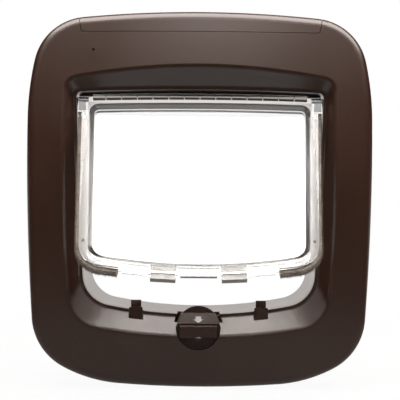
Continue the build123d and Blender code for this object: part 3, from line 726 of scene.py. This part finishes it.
# stage: white to the eye, while reflections see a warm floor that fades and a room dark but for two bands
lampWarmth = (1.0, 0.94, 0.9)
floorSizes = {"half": 40.0, "drop": 0.0005, "grey": (0.55, 0.55, 0.55, 1),
              "shadow": (0.2, 0.7), "shadowWhite": 0.95, "behind": (0.2, 0.45),
              "mirror": (0.14, 0.5), "mirrorNear": 0.42, "mirrorFar": 0.05}
roomSizes = {"backdrop": (0.91, 0.97), "wallFoot": (0.24, 0.5), "wallHead": (0.5, 0.66), "wallTop": 0.3,
             "wallSide": (-0.3, 0.0), "ambient": 0.05}


def rays(wire):
    # reflections, and what is seen straight or through the clear flap
    kinds = ("Is Glossy Ray", "Is Camera Ray", "Is Transmission Ray")
    glossy, direct, through = (wire.node("ShaderNodeLightPath", out=kind) for kind in kinds)
    return glossy, direct.most(through)


def mixShaders(share, first, second):
    return share.node("ShaderNodeMixShader", {}, {0: share, 1: first, 2: second})


def floorPaint():
    material = bpy.data.materials.new("paleFloor")
    material.use_nodes = True
    tree = material.node_tree
    tree.nodes.clear()
    wire = Wire(tree)
    glossy, seen = rays(wire)
    place = wire.node("ShaderNodeTexCoord", out="Object")
    away = place.vector("LENGTH", out="Value")
    whitened = seen * away.span(*floorSizes["shadow"], floorSizes["shadowWhite"], 1.0)
    fading = away.span(*floorSizes["mirror"], floorSizes["mirrorNear"], floorSizes["mirrorFar"])
    mirrored = place.along("Y").span(*floorSizes["behind"]).most(fading)
    diffuse = wire.node("ShaderNodeBsdfDiffuse", {}, {"Color": floorSizes["grey"]})
    unlit = wire.node("ShaderNodeBsdfDiffuse", {}, {"Color": black})
    glow = wire.node("ShaderNodeEmission", {}, {"Color": white, "Strength": 1.0})
    warmGlow = wire.node("ShaderNodeEmission", {}, {"Color": (*lampWarmth, 1), "Strength": 1.0})
    plain = mixShaders(whitened, diffuse, glow)
    mixed = mixShaders(glossy * (1 - seen), plain, mixShaders(mirrored, unlit, warmGlow))
    wire.feed(tree.nodes.new("ShaderNodeOutputMaterial"), {"Surface": mixed})
    return material


def paleFloor():
    half, z = floorSizes["half"], cadBox[0].z - floorSizes["drop"]
    corners = [(-half, -half, z), (half, -half, z), (half, half, z), (-half, half, z)]
    mesh = bpy.data.meshes.new("paleFloor")
    mesh.from_pydata(corners, [], [(0, 1, 2, 3)])
    mesh.materials.append(floorPaint())
    floor = bpy.data.objects.new("paleFloor", mesh)
    bpy.context.scene.collection.objects.link(floor)


def whiteRoom():
    world = bpy.data.worlds.new("whiteRoom")
    bpy.context.scene.world = world
    world.use_nodes = True
    tree = world.node_tree
    tree.nodes.clear()
    wire = Wire(tree)
    glossy, seen = rays(wire)
    way = wire.node("ShaderNodeTexCoord", out="Generated")
    outward, high = way.along("Y"), way.along("Z")
    backdrop = outward.span(*roomSizes["backdrop"])
    wallFoot = high.span(*roomSizes["wallFoot"])
    wallHead = high.span(*roomSizes["wallHead"], 1.0, roomSizes["wallTop"])
    frontWall = wallFoot * wallHead * outward.span(*roomSizes["wallSide"], 1.0, 0.0)
    indirect = glossy * backdrop.most(frontWall) + (1 - glossy) * roomSizes["ambient"]
    warmed = (glossy * (1 - seen)).tint(white, (*lampWarmth, 1))
    light = wire.node("ShaderNodeBackground", {},
                      {"Color": warmed, "Strength": seen + (1 - seen) * indirect})
    wire.feed(tree.nodes.new("ShaderNodeOutputWorld"), {"Surface": light})


# a broad softbox overhead and a far one in front
lamps = [
    {"name": "overhead", "place": (0.12, -0.13, 0.55), "target": (0.12, -0.13, 0),
     "wide": 1.3, "tall": 0.48, "watts": 18},
    {"name": "front", "place": (0.16, -3.0, 1.9), "target": (0, 0, 0.1),
     "wide": 1.1, "tall": 0.6, "watts": 17},
]


def softbox(name, place, target, wide, tall, watts):
    data = bpy.data.lights.new(name, "AREA")
    data.shape = "RECTANGLE"
    data.size, data.size_y = wide, tall
    data.energy = watts
    data.color = lampWarmth
    lamp = bpy.data.objects.new(name, data)
    lamp.location = place
    lamp.rotation_euler = (Vector(target) - Vector(place)).to_track_quat("-Z", "Y").to_euler()
    bpy.context.scene.collection.objects.link(lamp)


paleFloor()
whiteRoom()
for lamp in lamps:
    softbox(**lamp)
print("stage lit by", len(lamps), "softboxes")


# camera: level with the middle, the photograph's own small roll kept
cameraSizes = {"distance": 0.830, "right": 0.00049, "up": -0.00025, "viewHalf": 0.140, "viewAt": 0.812,
               "rollDegrees": 0.45, "sensor": 36, "nearest": 0.01}


def photoCamera():
    data = bpy.data.cameras.new("photoCamera")
    data.sensor_width = cameraSizes["sensor"]
    data.angle = 2 * math.atan(cameraSizes["viewHalf"] / cameraSizes["viewAt"])
    data.clip_start = cameraSizes["nearest"]
    camera = bpy.data.objects.new("photoCamera", data)
    stand = Matrix.Translation((cameraSizes["right"], -cameraSizes["distance"], cameraSizes["up"]))
    level = Matrix.Rotation(math.radians(90), 4, "X")
    roll = Matrix.Rotation(math.radians(cameraSizes["rollDegrees"]), 4, "Z")
    camera.matrix_world = stand @ level @ roll
    bpy.context.scene.collection.objects.link(camera)
    bpy.context.scene.camera = camera


photoCamera()
bpy.context.scene.view_settings.view_transform = "Standard"
print("camera set")
